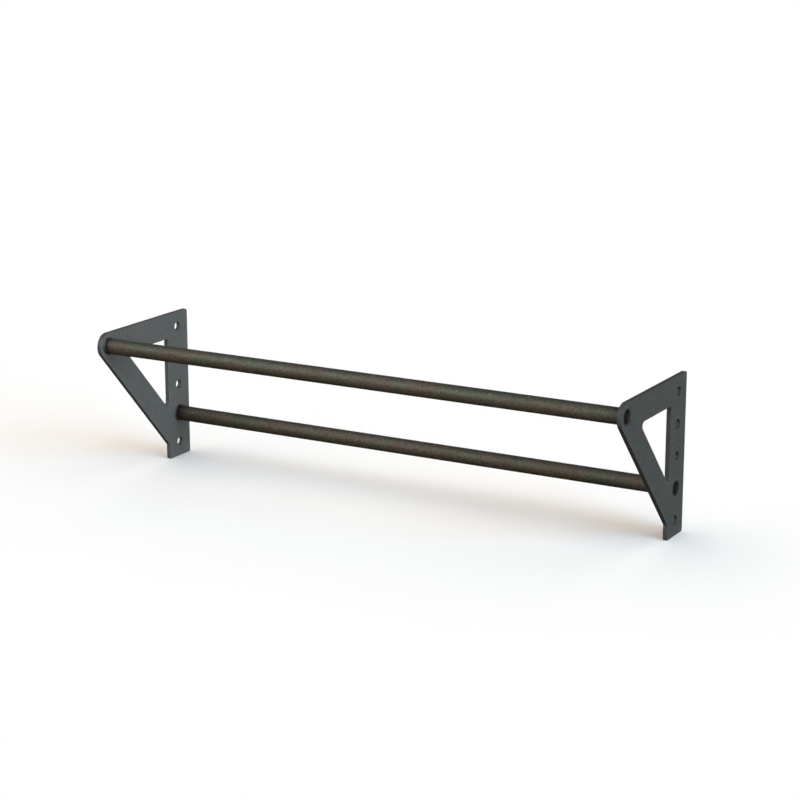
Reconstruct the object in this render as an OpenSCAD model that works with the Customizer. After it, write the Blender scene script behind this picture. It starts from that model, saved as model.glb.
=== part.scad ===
// Double pull-up bar for a training rig: two flat triangular side plates carry a front bar
// and a lower rear bar. The plates' outer faces bolt between two uprights.
//
// X runs along the bars, -Y points to the user's side and +Z up. The origin is at mid width
// and mid depth, on the level of the plates' bottom edges.

/* [Frame] */
// Clear width between the two side plates
inner_w = 1080; // [700:10:1800]
// Thickness of each side plate
plate_t = 8; // [6:0.5:12]
// Height of each side plate
plate_h = 300; // [280:5:360]
// Distance from the plates' rear edge forward to the front bar's axis
reach = 262.5; // [230:0.5:320]
// Radius of the plates' front corner, which is concentric with the front bar
nose_r = 25.5; // [22:0.5:32]

/* [Foot] */
// Length of the plates' flat bottom edge, front to back
foot_d = 70; // [60:1:80]
// Height of the short vertical edge in front of the foot
foot_h = 30; // [20:1:40]
// Radius of the plates' plain outer corners
corner_r = 5; // [2:0.5:8]

/* [Cut-out] */
// Width of the strip behind the cut-out, which lies against the upright
rear_strip = 70; // [60:1:80]
// Width of the strip above the cut-out
top_strip = 50; // [44:1:56]
// Width of the sloping strip in front of the cut-out
slope_strip = 50.5; // [44:0.5:56]
// Radius of the cut-out's front corner
cutout_nose_r = 8; // [4:0.5:12]
// Radius of the cut-out's bottom corner
cutout_bottom_r = 6.5; // [3:0.5:8]
// Radius of the cut-out's upper rear corner
cutout_rear_r = 2; // [1:0.25:4]

/* [Bolt holes] */
// Diameter of the bolt holes, which clear an M16 bolt
bolt_hole_d = 17.5; // [13:0.5:19]
// Distance between neighbouring holes of the rig
hole_pitch = 60; // [50:1:64]
// Distance from the plates' rear edge forward to the column of holes
hole_inset = 35; // [30:1:40]
// Height of the lowest hole
first_hole_z = 30; // [26:1:34]

/* [Bars] */
// Outer diameter of both bars
bar_d = 30; // [25:0.5:34]
// Wall thickness of both bars
bar_wall = 2; // [1.5:0.25:4]
// How far each bar's end stays below the plate's outer face
end_setback = 0.5; // [0.25:0.25:2]
// Radial gap between a bar and its hole in the plate
seat_gap = 0.1; // [0.05:0.01:0.2]

/* [Welds] */
// Leg length of the fillet weld round each bar on the plates' inner faces
weld_leg = 2.5; // [2:0.25:6]

/* [End plugs] */
// How far the plug's head stays below the bar's end
plug_setback = 0.5; // [0.25:0.25:2]
// Thickness of the plug's visible head
plug_head_t = 3; // [2:0.25:4]
// Radial gap between the plug's head and the bar's bore
plug_head_gap = 0.1; // [0.05:0.05:0.5]
// Depth of the plug's stem inside the bar
plug_stem_l = 18; // [12:1:30]
// Number of ribs that grip the bar's bore
plug_ribs = 4; // [3:1:6]
// Wall thickness of the plug's hollow stem
plug_stem_wall = 1.8; // [1.2:0.1:3]
// How far the ribs stand out from the stem
plug_rib_h = 2; // [1:0.25:3]

/* [Hidden] */
$fn = 96;
left = -1;
right = 1;
// Rig positions, counted up from the lowest hole, that take a bolt and the lower bar
bolt_steps = [0, 2, 3, 4];
lower_bar_step = 1;
plate_d = reach + nose_r;
bar_r = bar_d / 2;
bore_r = bar_r - bar_wall;
bar_l = inner_w + 2 * (plate_t - end_setback);
// Bar axes as [y, z], with y measured from the plates' rear edge
front_axis = [-reach, plate_h - nose_r];
lower_axis = [-hole_inset, first_hole_z + lower_bar_step * hole_pitch];
// The sloping edge leaves the foot's top corner and is tangent to the plate's nose
slope_start = [-foot_d, foot_h];
nose_offset = front_axis - slope_start;
slope_angle = atan2(nose_offset.y, nose_offset.x) + asin(nose_r / norm(nose_offset));
slope_dir = [cos(slope_angle), sin(slope_angle)];
slope_inward = [slope_dir.y, -slope_dir.x];
// Corners of the cut-out: two lie on a line parallel to the sloping edge
cutout_line = slope_start + slope_inward * slope_strip;
cutout_top_z = plate_h - top_strip;
cutout_front = on_slope_at_z(cutout_top_z);
cutout_bottom = on_slope_at_y(-rear_strip);
cutout_rear = [-rear_strip, cutout_top_z];
// The holes are cut a little past both faces
cut_over = 1;
plate_color = [0.29, 0.31, 0.32];
bar_color = [0.33, 0.31, 0.26];
weld_color = [0.20, 0.21, 0.21];
plug_color = [0.08, 0.08, 0.08];

function on_slope_at_z(z) = cutout_line + slope_dir * (z - cutout_line.y) / slope_dir.y;
function on_slope_at_y(y) = cutout_line + slope_dir * (y - cutout_line.x) / slope_dir.x;
function unit(v) = v / norm(v);
// Half the angle between the two sides that meet at corner p
function half_angle(p, a, b) = acos(unit(a - p) * unit(b - p)) / 2;
// Where a fillet of radius r in corner p touches the side towards a
function fillet_end(p, a, b, r) = p + unit(a - p) * r / tan(half_angle(p, a, b));
function fillet_centre(p, a, b, r) = p + unit(unit(a - p) + unit(b - p)) * r / sin(half_angle(p, a, b));

// Convex outline whose corners each have their own radius
module rounded_outline(corners, radii) {
    n = len(corners);
    polygon([
        for (i = [0 : n - 1])
            for (side = [n - 1, 1])
                fillet_end(corners[i], corners[(i + side) % n], corners[(i + n - side) % n], radii[i])
    ]);
    for (i = [0 : n - 1])
        translate(fillet_centre(corners[i], corners[(i + 1) % n], corners[(i + n - 1) % n], radii[i]))
            circle(r = radii[i]);
}

// Side plate's outline in [y, z], with the rear edge on y = 0
module plate_outline() {
    nose_tangent = front_axis - slope_inward * nose_r;
    polygon([
        [0, foot_h], [0, plate_h - corner_r], [-corner_r, plate_h],
        [front_axis.x, plate_h], nose_tangent, slope_start
    ]);
    translate([-corner_r, plate_h - corner_r])
        circle(r = corner_r);
    translate(front_axis)
        circle(r = nose_r);
    polygon([
        [0, foot_h], [-foot_d, foot_h], [-foot_d, corner_r],
        [corner_r - foot_d, 0], [-corner_r, 0], [0, corner_r]
    ]);
    for (y = [-corner_r, corner_r - foot_d])
        translate([y, corner_r])
            circle(r = corner_r);
}

module bolt_hole_outlines() {
    for (step = bolt_steps)
        translate([-hole_inset, first_hole_z + step * hole_pitch])
            circle(d = bolt_hole_d);
}

module bar_seat_outlines() {
    for (axis = [front_axis, lower_axis])
        translate(axis)
            circle(r = bar_r + seat_gap);
}

// Turns an outline in [y, z] into a slab between x and x + thickness
module slab(x, thickness) {
    translate([x, plate_d / 2, 0])
        rotate([90, 0, 90])
            linear_extrude(height = thickness)
                children();
}

// Puts a part that is drawn along +Z, growing inwards from z = 0, on a bar's axis at distance x
module at_bar_end(side, axis, x) {
    translate([side * x, axis.x + plate_d / 2, axis.y])
        rotate([0, -side * 90, 0])
            children();
}

module side_plate(side) {
    x0 = side > 0 ? inner_w / 2 : -inner_w / 2 - plate_t;
    color(plate_color)
        difference() {
            slab(x0, plate_t)
                plate_outline();
            slab(x0 - cut_over, plate_t + 2 * cut_over) {
                rounded_outline(
                    [cutout_rear, cutout_front, cutout_bottom],
                    [cutout_rear_r, cutout_nose_r, cutout_bottom_r]
                );
                bolt_hole_outlines();
                bar_seat_outlines();
            }
        }
}

module bar(axis) {
    color(bar_color)
        at_bar_end(left, axis, bar_l / 2)
            difference() {
                cylinder(r = bar_r, h = bar_l);
                translate([0, 0, -cut_over])
                    cylinder(r = bore_r, h = bar_l + 2 * cut_over);
            }
}

// Fillet weld in the corner between a bar and the plate's inner face
module weld(side, axis) {
    color(weld_color)
        at_bar_end(side, axis, inner_w / 2)
            rotate_extrude()
                polygon([[bar_r, 0], [bar_r + weld_leg, 0], [bar_r, weld_leg]]);
}

// Ribbed insert that closes a bar's end: its head sits inside the bore
module plug(side, axis) {
    head_r = bore_r - plug_head_gap;
    edge = plug_head_t / 3;
    stem_r = bore_r - plug_rib_h;
    rib_pitch = plug_stem_l / plug_ribs;
    color(plug_color)
        at_bar_end(side, axis, bar_l / 2 - plug_setback)
            rotate_extrude() {
                polygon([
                    [0, 0], [head_r - edge, 0], [head_r, edge],
                    [head_r, plug_head_t], [0, plug_head_t]
                ]);
                translate([stem_r - plug_stem_wall, plug_head_t])
                    square([plug_stem_wall, plug_stem_l]);
                for (i = [0 : plug_ribs - 1])
                    translate([stem_r, plug_head_t + i * rib_pitch])
                        polygon([[-edge, 0], [plug_rib_h, 0], [plug_rib_h, edge], [-edge, rib_pitch / 2]]);
            }
}

side_plate(left);  // left_side_plate
side_plate(right);  // right_side_plate
bar(front_axis);  // front_bar
bar(lower_axis);  // lower_bar
weld(left, front_axis);  // front_left_weld
weld(right, front_axis);  // front_right_weld
weld(left, lower_axis);  // lower_left_weld
weld(right, lower_axis);  // lower_right_weld
plug(left, front_axis);  // front_left_plug
plug(right, front_axis);  // front_right_plug
plug(left, lower_axis);  // lower_left_plug
plug(right, lower_axis);  // lower_right_plug
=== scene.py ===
import random
from math import cos, pi, radians, sin

import bpy
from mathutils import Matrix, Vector


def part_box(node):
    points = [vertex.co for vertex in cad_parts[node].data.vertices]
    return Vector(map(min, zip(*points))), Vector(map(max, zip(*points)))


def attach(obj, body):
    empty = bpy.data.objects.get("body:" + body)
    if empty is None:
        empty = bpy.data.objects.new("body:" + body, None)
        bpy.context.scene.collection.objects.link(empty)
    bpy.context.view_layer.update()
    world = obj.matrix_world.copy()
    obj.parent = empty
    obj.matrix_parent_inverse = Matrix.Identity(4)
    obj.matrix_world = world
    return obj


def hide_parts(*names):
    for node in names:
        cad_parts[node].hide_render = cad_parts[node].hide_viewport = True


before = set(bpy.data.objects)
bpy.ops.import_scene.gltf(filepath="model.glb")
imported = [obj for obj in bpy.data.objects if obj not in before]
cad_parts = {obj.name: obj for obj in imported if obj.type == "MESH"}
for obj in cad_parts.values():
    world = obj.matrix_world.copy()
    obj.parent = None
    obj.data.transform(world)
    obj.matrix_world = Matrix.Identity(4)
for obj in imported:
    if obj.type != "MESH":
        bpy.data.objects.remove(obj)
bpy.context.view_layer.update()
MM = 0.001

# ---------------------------------------------------------------- camera

# Sensor width and focal length in mm
SENSOR = 36.0
LENS = 98.208
# The camera's place is given in clear widths between the plates, from the plates' rear edge
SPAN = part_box("right_side_plate")[0].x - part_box("left_side_plate")[1].x
CAM_IN_SPANS = Vector((1.8291, -3.2910, 1.1294))
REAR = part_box("left_side_plate")[1].y
# The camera turns left by YAW and looks down by PITCH
YAW = radians(29.588)
PITCH = radians(14.389)

cam_data = bpy.data.cameras.new("camera")
cam_data.sensor_width = SENSOR
cam_data.lens = LENS
cam = bpy.data.objects.new("camera", cam_data)
cam.location = CAM_IN_SPANS * SPAN + Vector((0, REAR, 0))
cam.rotation_euler = (radians(90) - PITCH, 0, YAW)
bpy.context.collection.objects.link(cam)
bpy.context.scene.camera = cam


# ---------------------------------------------------------------- node helpers

# Sockets of the Mix node that carry colours
MIX_FIRST = 6
MIX_SECOND = 7
MIX_RESULT = 2


def rgba(colour):
    """Adds the alpha that a colour socket asks for. A linked socket stays as it is."""
    return colour if isinstance(colour, bpy.types.NodeSocket) else (*colour, 1.0)


class Shader:
    """A Principled material under construction. Its patterns lie in the object's own space, in metres.

    The pattern and colour methods add nodes and return the socket that carries the result.
    """

    def __init__(self, name):
        self.mat = bpy.data.materials.new(name)
        self.mat.use_nodes = True
        self.tree = self.mat.node_tree
        self.bsdf = self.tree.nodes["Principled BSDF"]
        coord = self.tree.nodes.new("ShaderNodeTexCoord")
        self.place = coord.outputs["Object"]
        self.normal = coord.outputs["Normal"]

    def feed(self, socket, value):
        """Links a socket to another one, or gives it a constant"""
        if isinstance(value, bpy.types.NodeSocket):
            self.tree.links.new(value, socket)
        else:
            socket.default_value = value

    def node(self, kind, inputs, **props):
        n = self.tree.nodes.new(kind)
        for key, value in props.items():
            setattr(n, key, value)
        for key, value in inputs.items():
            self.feed(n.inputs[key], value)
        return n

    def scaled_place(self, size, stretch):
        """The place in units of size metres. A stretch below 1 draws the pattern out along that axis."""
        return self.node("ShaderNodeMapping", {
            "Vector": self.place, "Scale": tuple(s / size for s in stretch)}).outputs[0]

    def noise(self, size, detail, rough, stretch=(1, 1, 1)):
        """Noise from 0 to 1, about 0.5 on average, whose blobs are about size metres across"""
        return self.node("ShaderNodeTexNoise", {
            "Vector": self.scaled_place(size, stretch), "Scale": 1.0, "Detail": detail, "Roughness": rough,
        }).outputs["Fac"]

    def span(self, value, lo, hi, out_lo=0.0, out_hi=1.0, smooth=True):
        """Maps the values from lo to hi to those from out_lo to out_hi, and clamps the rest"""
        return self.node("ShaderNodeMapRange", {
            "Value": value, "From Min": lo, "From Max": hi, "To Min": out_lo, "To Max": out_hi,
        }, interpolation_type="SMOOTHSTEP" if smooth else "LINEAR").outputs["Result"]

    def math(self, op, a, b=0.0):
        return self.node("ShaderNodeMath", {0: a, 1: b}, operation=op).outputs[0]

    def times(self, a, b):
        return self.math("MULTIPLY", a, b)

    def x_of(self, vector):
        return self.node("ShaderNodeSeparateXYZ", {0: vector}).outputs[0]

    def mix(self, factor, first, second):
        """Blends from the first colour at 0 to the second at 1"""
        return self.node("ShaderNodeMix", {
            0: factor, MIX_FIRST: rgba(first), MIX_SECOND: rgba(second),
        }, data_type="RGBA").outputs[MIX_RESULT]

    def shade(self, tone, pattern, darkest, lightest, lo=0.3, hi=0.7):
        """Scales a colour by darkest where the pattern is lo, up to lightest where it is hi"""
        factor = self.span(pattern, lo, hi, darkest, lightest, smooth=False)
        return self.node("ShaderNodeVectorMath", {0: tone, "Scale": factor}, operation="SCALE").outputs[0]

    def flecks(self, tone, colour, strength, size, fade, picked, stretch=(1, 1, 1)):
        """Soft spots of another colour, at most one in each cell of about size metres.

        fade is where a spot's edge starts and ends, in cells from its centre. Each cell has a random
        value from 0 to 1: it has no spot below picked's first value, and a full one above its second.
        """
        cells = self.node("ShaderNodeTexVoronoi", {"Vector": self.scaled_place(size, stretch), "Scale": 1.0})
        spot = self.span(cells.outputs["Distance"], *fade, 1.0, 0.0)
        chosen = self.span(self.x_of(cells.outputs["Color"]), *picked)
        return self.mix(self.times(self.times(spot, chosen), strength), tone, colour)

    def bump(self, height, depth, under=None):
        """Bump from a height of 0 to 1 that stands for depth metres, on top of the bump under it"""
        inputs = {"Height": height, "Strength": 1.0, "Distance": depth}
        if under is not None:
            inputs["Normal"] = under
        return self.node("ShaderNodeBump", inputs).outputs[0]

    def finish(self, **sockets):
        """Feeds the Principled node, with _ for a space in a socket's name, and returns the material"""
        for key, value in sockets.items():
            self.feed(self.bsdf.inputs[key.replace("_", " ")], value)
        return self.mat


# ---------------------------------------------------------------- materials

PLATE_COOL = (0.147, 0.172, 0.177)
PLATE_WARM = (0.175, 0.178, 0.173)
# Painted shade on the plates' thin edges
PLATE_EDGE_SHADE = (0.073, 0.076, 0.077)
PLATE_FLECK = (0.24, 0.25, 0.26)
PLATE_RUBBED = (0.17, 0.17, 0.17)
BAR_OLIVE = (0.091, 0.103, 0.080)
BAR_BROWN = (0.115, 0.098, 0.083)
BAR_FLECK = (0.30, 0.30, 0.26)
# Painted shade where a bar meets a plate
BAR_JOINT_SHADE = (0.038, 0.041, 0.044)
BAR_METALLIC = 0.55
WELD_DARK = (0.050, 0.053, 0.055)
WELD_LIGHT = (0.090, 0.092, 0.090)
WELD_METALLIC = 0.35
PLUG_BLACK = (0.013, 0.013, 0.014)
PLUG_DUST = (0.030, 0.029, 0.028)

# Painted shade on a bar next to the plate: it fades out between the first two distances from the plate, which
# drift by up to the third
JOINT_SHADE_FULL = 0.006
JOINT_SHADE_GONE = 0.028
JOINT_SHADE_DRIFT = 0.010
# How strong the painted shade is at the left and at the right end, and the places along X that stand for the
# ends
JOINT_SHADE_LEFT = 0.80
JOINT_SHADE_RIGHT = 0.40
JOINT_SHADE_ENDS = 0.5
# Depths inside the plate where the coating on a bar's outer end starts and where it is full
COAT_STARTS = 0.002
COAT_FULL = 0.004


def plate_material():
    """Textured powder coating, with painted shade on the plates' thin edges, and rubbed on their bevels"""
    s = Shader("plate_coating")
    blotch = s.noise(0.035, 3.0, 0.55)
    grain = s.noise(0.0016, 2.0, 0.6)
    # 1 on the flat faces and 0 on the thin edges, with the bevels in between
    facing = s.math("ABSOLUTE", s.x_of(s.normal))
    tone = s.mix(s.span(blotch, 0.3, 0.7), PLATE_COOL, PLATE_WARM)
    # Painted shade: the thin edges, which don't face along X, are darker
    tone = s.mix(s.span(facing, 0.25, 0.95), PLATE_EDGE_SHADE, tone)
    tone = s.shade(tone, grain, 0.80, 1.20, lo=0.25, hi=0.75)
    tone = s.shade(tone, s.noise(0.0045, 2.0, 0.6), 0.84, 1.16)
    tone = s.flecks(tone, PLATE_FLECK, 0.35, size=0.004, fade=(0.10, 0.22), picked=(0.86, 0.90))
    bevel = s.times(s.span(facing, 0.30, 0.60), s.span(facing, 0.80, 0.97, 1.0, 0.0))
    rubbed = s.times(bevel, s.span(s.noise(0.012, 3.0, 0.7), 0.45, 0.62))
    tone = s.mix(s.times(rubbed, 0.5), tone, PLATE_RUBBED)
    orange_peel = s.noise(0.0030, 1.0, 0.4)
    return s.finish(
        Base_Color=tone,
        Roughness=s.span(blotch, 0.25, 0.75, 0.50, 0.64, smooth=False),
        Specular_IOR_Level=0.3,
        Normal=s.bump(orange_peel, 0.00010, s.bump(grain, 0.00006)),
    )


def bar_material():
    """Olive and brown patina on steel tube, drawn out along the bar, with light specks and scuffs, and
    painted shade next to the plates
    """
    s = Shader("bar_steel")
    patina = s.noise(0.045, 3.0, 0.6, stretch=(0.5, 1, 1))
    streak = s.noise(0.0020, 2.0, 0.6, stretch=(0.05, 1, 1))
    grain = s.noise(0.0018, 3.0, 0.7)
    tone = s.mix(s.span(patina, 0.42, 0.58), BAR_OLIVE, BAR_BROWN)
    tone = s.shade(tone, grain, 0.62, 1.42)
    tone = s.shade(tone, streak, 0.90, 1.10)
    tone = s.shade(tone, s.noise(0.0040, 2.0, 0.65), 0.72, 1.28)
    tone = s.flecks(tone, BAR_FLECK, 0.40, size=0.0045, fade=(0.12, 0.30), picked=(0.78, 0.84))
    tone = s.flecks(tone, BAR_FLECK, 0.45, size=0.011, fade=(0.10, 0.24), picked=(0.84, 0.90),
                    stretch=(0.6, 1, 1))
    # A short stretch at each end is darkened as painted shade where the bar meets the plate, and the plates'
    # coating covers the last bit
    along = s.x_of(s.place)
    to_plate = s.math("SUBTRACT", SPAN / 2, s.math("ABSOLUTE", along))
    drift = s.span(s.noise(0.010, 2.0, 0.6), 0.25, 0.75, 0.0, JOINT_SHADE_DRIFT, smooth=False)
    joint_shade = s.times(
        s.span(s.math("ADD", to_plate, drift), JOINT_SHADE_FULL, JOINT_SHADE_GONE, 1.0, 0.0),
        s.span(along, -JOINT_SHADE_ENDS, JOINT_SHADE_ENDS, JOINT_SHADE_LEFT, JOINT_SHADE_RIGHT, smooth=False))
    tone = s.mix(joint_shade, tone, BAR_JOINT_SHADE)
    tone = s.mix(s.span(to_plate, -COAT_FULL, -COAT_STARTS, 1.0, 0.0), tone, PLATE_COOL)
    return s.finish(
        Base_Color=tone,
        Metallic=BAR_METALLIC,
        Roughness=s.span(patina, 0.3, 0.7, 0.56, 0.68, smooth=False),
        Specular_IOR_Level=0.4,
        Normal=s.bump(streak, 0.00003, s.bump(grain, 0.00010)),
    )


def weld_material():
    """Dark, slightly glossy weld metal"""
    s = Shader("weld_bead")
    heat = s.noise(0.010, 2.0, 0.5)
    grain = s.noise(0.0009, 2.0, 0.6)
    return s.finish(
        Base_Color=s.shade(s.mix(s.span(heat, 0.35, 0.65), WELD_DARK, WELD_LIGHT), grain, 0.8, 1.2),
        Metallic=WELD_METALLIC,
        Roughness=s.span(heat, 0.3, 0.7, 0.38, 0.52, smooth=False),
        Normal=s.bump(grain, 0.00004),
    )


def plug_material():
    """Black plastic with a spark-eroded texture, dusty in places"""
    s = Shader("plug_plastic")
    dust = s.noise(0.006, 3.0, 0.6)
    return s.finish(
        Base_Color=s.mix(s.span(dust, 0.45, 0.75), PLUG_BLACK, PLUG_DUST),
        Roughness=s.span(dust, 0.3, 0.7, 0.46, 0.62, smooth=False),
        Specular_IOR_Level=0.45,
        Normal=s.bump(s.noise(0.0005, 1.0, 0.5), 0.00003),
    )


STEEL = plate_material()
BAR = bar_material()
WELD = weld_material()
PLUG = plug_material()


# ---------------------------------------------------------------- plates and bars

MERGE_DISTANCE = 0.00001
PLATE_BEVEL = 0.35 * MM
BAR_BEVEL = 0.3 * MM
BEVEL_SEGMENTS = 3
# Edges sharper than this are bevelled
BEVEL_ANGLE = radians(35)


def finish_node(name, material, bevel):
    """Gives a CAD node its material and rounds its sharp edges a little"""
    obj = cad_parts[name]
    for slot in obj.material_slots:
        slot.material = material
    join = obj.modifiers.new("join", "WELD")
    join.merge_threshold = MERGE_DISTANCE
    soften = obj.modifiers.new("soften", "BEVEL")
    soften.width = bevel
    soften.segments = BEVEL_SEGMENTS
    soften.limit_method = "ANGLE"
    soften.angle_limit = BEVEL_ANGLE
    soften.harden_normals = True


for side in ("left", "right"):
    finish_node(side + "_side_plate", STEEL, PLATE_BEVEL)
for bar in ("front_bar", "lower_bar"):
    finish_node(bar, BAR, BAR_BEVEL)


# ---------------------------------------------------------------- weld beads and plugs

def ring_piece(name, replaced, material, rings):
    """Closed surface at a bar's end, in place of a CAD node, through rings of points round the bar's axis.

    Each point is (inward, radius, angle), where inward counts from the node's outer face to mid width.
    The last ring joins the first one.
    """
    lo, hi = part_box(replaced)
    side = 1 if lo.x > 0 else -1
    x0 = max(abs(lo.x), abs(hi.x))
    y0, z0 = (lo.y + hi.y) / 2, (lo.z + hi.z) / 2
    verts = []
    for ring in rings:
        for inward, radius, angle in ring:
            verts.append((side * (x0 - inward), y0 + radius * cos(angle), z0 + radius * sin(angle)))
    n = len(rings[0])
    faces = []
    for i in range(len(rings)):
        k = (i + 1) % len(rings)
        for j in range(n):
            m = (j + 1) % n
            face = (i * n + j, k * n + j, k * n + m, i * n + m)
            # A mirrored piece needs its faces turned round
            faces.append(face if side < 0 else face[::-1])
    mesh = bpy.data.meshes.new(name)
    mesh.from_pydata(verts, [], faces)
    mesh.validate()
    mesh.materials.append(material)
    mesh.polygons.foreach_set("use_smooth", [True] * len(mesh.polygons))
    mesh.update()
    obj = bpy.data.objects.new(name, mesh)
    bpy.context.collection.objects.link(obj)
    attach(obj, "root")
    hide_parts(replaced)


# Points round the bead, and strips from its side on the plate to its side on the bar
BEAD_STEPS = 384
BEAD_ROWS = 12
BEAD_RIPPLES = 52
# How far a ripple bows between its toes, and how far the ripples drift along the bead, in ripples
RIPPLE_BOW = 0.35
RIPPLE_DRIFT = 0.12
# A ripple rises over one part in RIPPLE_RISE of its length, and falls off over the rest
RIPPLE_RISE = 6
# Harmonics of the bead's uneven width
SWAY_COUNTS = (2, 3, 5, 7)
# As parts of the weld's leg
BEAD_SIZE = 0.90
BEAD_SWAY = 0.04
BEAD_CROWN = 0.10
RIPPLE_HEIGHT = 0.09
RIPPLE_TOE = 0.04
RESTART_HEIGHT = 0.11
# How much of the sway there is on the plate's side. All of it is on the bar's side.
PLATE_SIDE_SWAY = 0.4
# The lump where the welder stopped and went on spreads this far each way, in radians
RESTART_REACH = 0.22
# The bead swells at 45 degrees, so its crown moves this much along each of the two axes
DIAGONAL = 0.7071
# The bead's root goes this far into the bar and the plate
BEAD_SINK = 0.05 * MM


def weld_bead(end, seed):
    """Fillet bead laid in overlapping ripples round a bar, on a plate's inner face"""
    rng = random.Random(seed)
    node = end + "_weld"
    lo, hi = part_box(node)
    leg = hi.x - lo.x
    outer = (hi.y - lo.y) / 2
    inner = outer - leg
    waves = [(rng.uniform(0, 2 * pi), k, rng.uniform(0.4, 1.0) / k) for k in SWAY_COUNTS]
    start = rng.uniform(0, 2 * pi)
    rings = []
    for row in range(BEAD_ROWS + 1):
        # 0 on the plate and 1 on the bar
        v = row / BEAD_ROWS
        crown = sin(pi * v)
        ring = []
        for j in range(BEAD_STEPS):
            u = 2 * pi * j / BEAD_STEPS
            sway = sum(height * sin(k * u + shift) for shift, k, height in waves)
            phase = (u * BEAD_RIPPLES / (2 * pi) + RIPPLE_BOW * crown + RIPPLE_DRIFT * sway) % 1.0
            ripple = (1 - phase) * min(1.0, phase * RIPPLE_RISE)
            size = leg * (BEAD_SIZE + BEAD_SWAY * sway * (PLATE_SIDE_SWAY + (1 - PLATE_SIDE_SWAY) * v))
            swell = leg * crown * (BEAD_CROWN + RIPPLE_HEIGHT * ripple)
            from_start = abs((u - start + pi) % (2 * pi) - pi)
            restart = RESTART_HEIGHT * leg * crown * max(0.0, 1 - from_start / RESTART_REACH)
            out = (swell + restart) * DIAGONAL
            toe = RIPPLE_TOE * leg * ripple
            inward = v * (size + toe) + out - BEAD_SINK
            rise = (1 - v) * (size + toe) + out - BEAD_SINK
            ring.append((inward, inner + rise, u))
        rings.append(ring)
    rings.append([(-BEAD_SINK, inner - BEAD_SINK, 2 * pi * j / BEAD_STEPS) for j in range(BEAD_STEPS)])
    ring_piece(end + "_bead", node, WELD, rings)


CAP_STEPS = 96
# The plug's own measures, which are those of the CAD plug
HEAD_T = 3.0 * MM
STEM_WALL = 1.8 * MM
RIBS = 4
RIB_H = 2.0 * MM
# The head is this much smaller in radius than the ribs, and its rear edge has a chamfer of CHAMFER
RIM_GAP = 0.1 * MM
CHAMFER = 0.2 * MM
# The head's face is dished this deep inside a rounded rim
DISH = 1.1 * MM
ROUNDING = 0.7 * MM
# Rings on the flat part of the dish, as parts of the rim's radius
FLAT_RINGS = (0.30, 0.55, 0.68)
# The slope from the flat part up to the rim, as parts of the rim's radius, and the angles of its rings
SLOPE_START = 0.70
SLOPE_WIDTH = 0.16
SLOPE_RINGS = (0.3, 0.9, 1.6, 2.2, 2.8, pi)
# Angles of the rings on the rim's rounding
ROUNDING_RINGS = (0, 0.4, 0.8, 1.2, pi / 2)
# Depths behind a rib's start: the foot and the crest of its steep front, and the end of its level top.
# Its rear slopes from there down to half a pitch.
RIB_FOOT = 0.05 * MM
RIB_CREST = 0.1 * MM
RIB_TOP = 1.0 * MM
# The stem's floor lies this far behind the head's rear face
STEM_FLOOR = 0.1 * MM
# The surface stops this far from the axis, where its faces would have no area
AXIS_GAP = 0.02 * MM
# The gate mark and the ring at its foot, as (height above the dish, radius)
GATE_MARK = (
    (0.6 * MM, AXIS_GAP), (0.6 * MM, 0.9 * MM), (0.4 * MM, 1.2 * MM),
    (0.0, 1.35 * MM), (0.0, 1.5 * MM),
)


def plug_cap(end):
    """Ribbed insert inside a bar's bore, with a dished head and a moulding gate mark at its centre"""
    node = end + "_plug"
    lo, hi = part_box(node)
    depth = hi.x - lo.x
    rib_r = (hi.y - lo.y) / 2
    rim_r = rib_r - RIM_GAP
    stem = rib_r - RIB_H
    # The profile is (inward, radius), from the gate mark over the flat part of the dish
    profile = [(DISH - height, radius) for height, radius in GATE_MARK]
    profile += [(DISH, part * rim_r) for part in FLAT_RINGS]
    # Up the slope, round the rim and down the head's side
    profile += [(DISH * (1 + cos(a)) / 2, (SLOPE_START + SLOPE_WIDTH * a / pi) * rim_r)
                for a in SLOPE_RINGS]
    profile += [((1 - cos(a)) * ROUNDING, rim_r - ROUNDING + sin(a) * ROUNDING)
                for a in ROUNDING_RINGS]
    profile += [(HEAD_T - CHAMFER, rim_r), (HEAD_T, rim_r - CHAMFER), (HEAD_T, stem)]
    # Along the ribbed stem, then back inside it
    pitch = (depth - HEAD_T) / RIBS
    for k in range(RIBS):
        x = HEAD_T + k * pitch
        profile += [(x + RIB_FOOT, stem), (x + RIB_CREST, rib_r), (x + RIB_TOP, rib_r), (x + pitch / 2, stem)]
    inside = stem - STEM_WALL
    floor_x = HEAD_T + STEM_FLOOR
    profile += [(depth, stem), (depth, inside), (floor_x, inside), (floor_x, AXIS_GAP)]
    rings = [[(x, radius, 2 * pi * j / CAP_STEPS) for j in range(CAP_STEPS)] for x, radius in profile]
    ring_piece(end + "_cap", node, PLUG, rings)


FIRST_SEED = 11

for number, end in enumerate(("front_left", "front_right", "lower_left", "lower_right")):
    weld_bead(end, FIRST_SEED + number)
    plug_cap(end)


# ---------------------------------------------------------------- floor, backdrop and world

# Half the floor's width and the backdrop's radius, in metres
FLOOR_REACH = 60.0
BACKDROP_RADIUS = 80.0
# The world's colour changes from the lower to the upper one within this height of the horizon
HORIZON = 0.06
WORLD_LOWER = (0.035, 0.021, 0.012)
WORLD_UPPER = (0.07, 0.07, 0.07)


def pale_floor():
    """Pale floor under the part. Diffuse and glossy rays miss it, so it doesn't light the object."""
    mesh = bpy.data.meshes.new("floor")
    corners = [(x * FLOOR_REACH, y * FLOOR_REACH, 0.0) for x, y in ((-1, -1), (1, -1), (1, 1), (-1, 1))]
    mesh.from_pydata(corners, [], [(0, 1, 2, 3)])
    obj = bpy.data.objects.new("floor", mesh)
    bpy.context.collection.objects.link(obj)
    s = Shader("floor_pale")
    mesh.materials.append(s.finish(
        Base_Color=s.mix(s.noise(0.25, 3.0, 0.5), (0.975, 0.975, 0.975), (1.0, 1.0, 1.0)),
        Roughness=0.9, Specular_IOR_Level=0.0))
    obj.visible_diffuse = False
    obj.visible_glossy = False
    return obj


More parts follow.
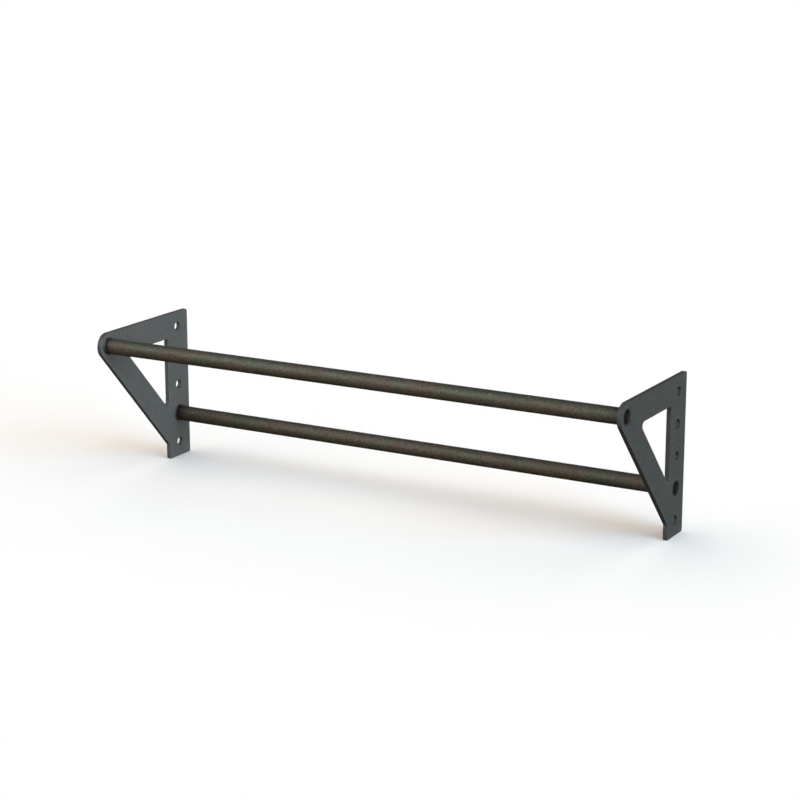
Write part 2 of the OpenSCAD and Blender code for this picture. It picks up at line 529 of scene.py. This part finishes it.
def white_backdrop():
    """White sphere round the scene, seen by the camera only"""
    bpy.ops.mesh.primitive_uv_sphere_add(segments=48, ring_count=24, radius=BACKDROP_RADIUS)
    backdrop = bpy.context.active_object
    backdrop.name = "backdrop"
    white = bpy.data.materials.new("backdrop_white")
    white.use_nodes = True
    white.node_tree.nodes.clear()
    glow = white.node_tree.nodes.new("ShaderNodeEmission")
    out = white.node_tree.nodes.new("ShaderNodeOutputMaterial")
    white.node_tree.links.new(glow.outputs[0], out.inputs["Surface"])
    backdrop.data.materials.append(white)
    for ray in ("diffuse", "glossy", "shadow", "transmission", "volume_scatter"):
        setattr(backdrop, "visible_" + ray, False)
    return backdrop


def studio_world():
    """Dim light from all round, warmer and darker below the horizon"""
    world = bpy.data.worlds.new("studio")
    bpy.context.scene.world = world
    world.use_nodes = True
    tree = world.node_tree
    coord = tree.nodes.new("ShaderNodeTexCoord")
    height = tree.nodes.new("ShaderNodeSeparateXYZ")
    tree.links.new(coord.outputs["Generated"], height.inputs[0])
    fade = tree.nodes.new("ShaderNodeMapRange")
    fade.inputs["From Min"].default_value = -HORIZON
    fade.inputs["From Max"].default_value = HORIZON
    tree.links.new(height.outputs[2], fade.inputs["Value"])
    blend = tree.nodes.new("ShaderNodeMix")
    blend.data_type = "RGBA"
    tree.links.new(fade.outputs["Result"], blend.inputs[0])
    blend.inputs[MIX_FIRST].default_value = rgba(WORLD_LOWER)
    blend.inputs[MIX_SECOND].default_value = rgba(WORLD_UPPER)
    tree.links.new(blend.outputs[MIX_RESULT], tree.nodes["Background"].inputs["Color"])


floor = pale_floor()
backdrop = white_backdrop()
studio_world()


# ---------------------------------------------------------------- lights

def sun(name, azimuth, elevation, spread, level, colour, only):
    """Soft distant light, with its angles in degrees, that lights only the given objects.

    Azimuth 0 comes from -Y and 90 from +X. Level 1 makes a facing white surface white.
    """
    data = bpy.data.lights.new(name, "SUN")
    data.angle = radians(spread)
    data.energy = level * pi
    data.color = colour
    obj = bpy.data.objects.new(name, data)
    a, e = radians(azimuth), radians(elevation)
    away = Vector((sin(a) * cos(e), -cos(a) * cos(e), sin(e)))
    obj.rotation_euler = away.to_track_quat("Z", "Y").to_euler()
    bpy.context.collection.objects.link(obj)
    lit = bpy.data.collections.new(name + "_lit")
    for receiver in only:
        lit.objects.link(receiver)
    obj.light_linking.receiver_collection = lit
    return obj


shown = [o for o in bpy.data.objects
         if o.type == "MESH" and not o.hide_render and o not in (floor, backdrop)]
left_end = [o for o in shown if o.name == "left_side_plate" or o.name.endswith("left_bead")]
bars = [o for o in shown if o.name in ("front_bar", "lower_bar")]
others = [o for o in shown if o not in bars]
# Each light has its azimuth, elevation and spread, then its level and colour
sun("overhead", 0, 90, 116, 1.0, (0.855, 0.765, 0.675), only=[floor])
sun("floor_key", 78, 24, 40, 0.66, (0.33, 0.68, 1.0), only=[floor])
sun("key", 78, 10, 40, 0.48, (0.93, 0.98, 1.0), only=shown)
sun("front", -25, 30, 50, 0.74, (1.0, 0.985, 0.95), only=others)
sun("bar_front", -40, 34, 46, 0.70, (0.985, 0.985, 0.965), only=bars)
sun("bar_bounce", -15, -5, 90, 0.13, (1.0, 0.62, 0.26), only=bars)
sun("plate_fill", 65, 14, 90, 0.29, (0.96, 0.98, 1.0), only=left_end)
back = sun("back", 205, 0, 60, 0.50, (0.96, 0.98, 1.0), only=shown)
# Otherwise its reflection draws a bright rim along the plates' top edges
back.visible_glossy = False

bpy.context.scene.view_settings.view_transform = "Standard"
# With the light tree on, the linked lights come out with a different strength from run to run
bpy.context.scene.cycles.use_light_tree = False
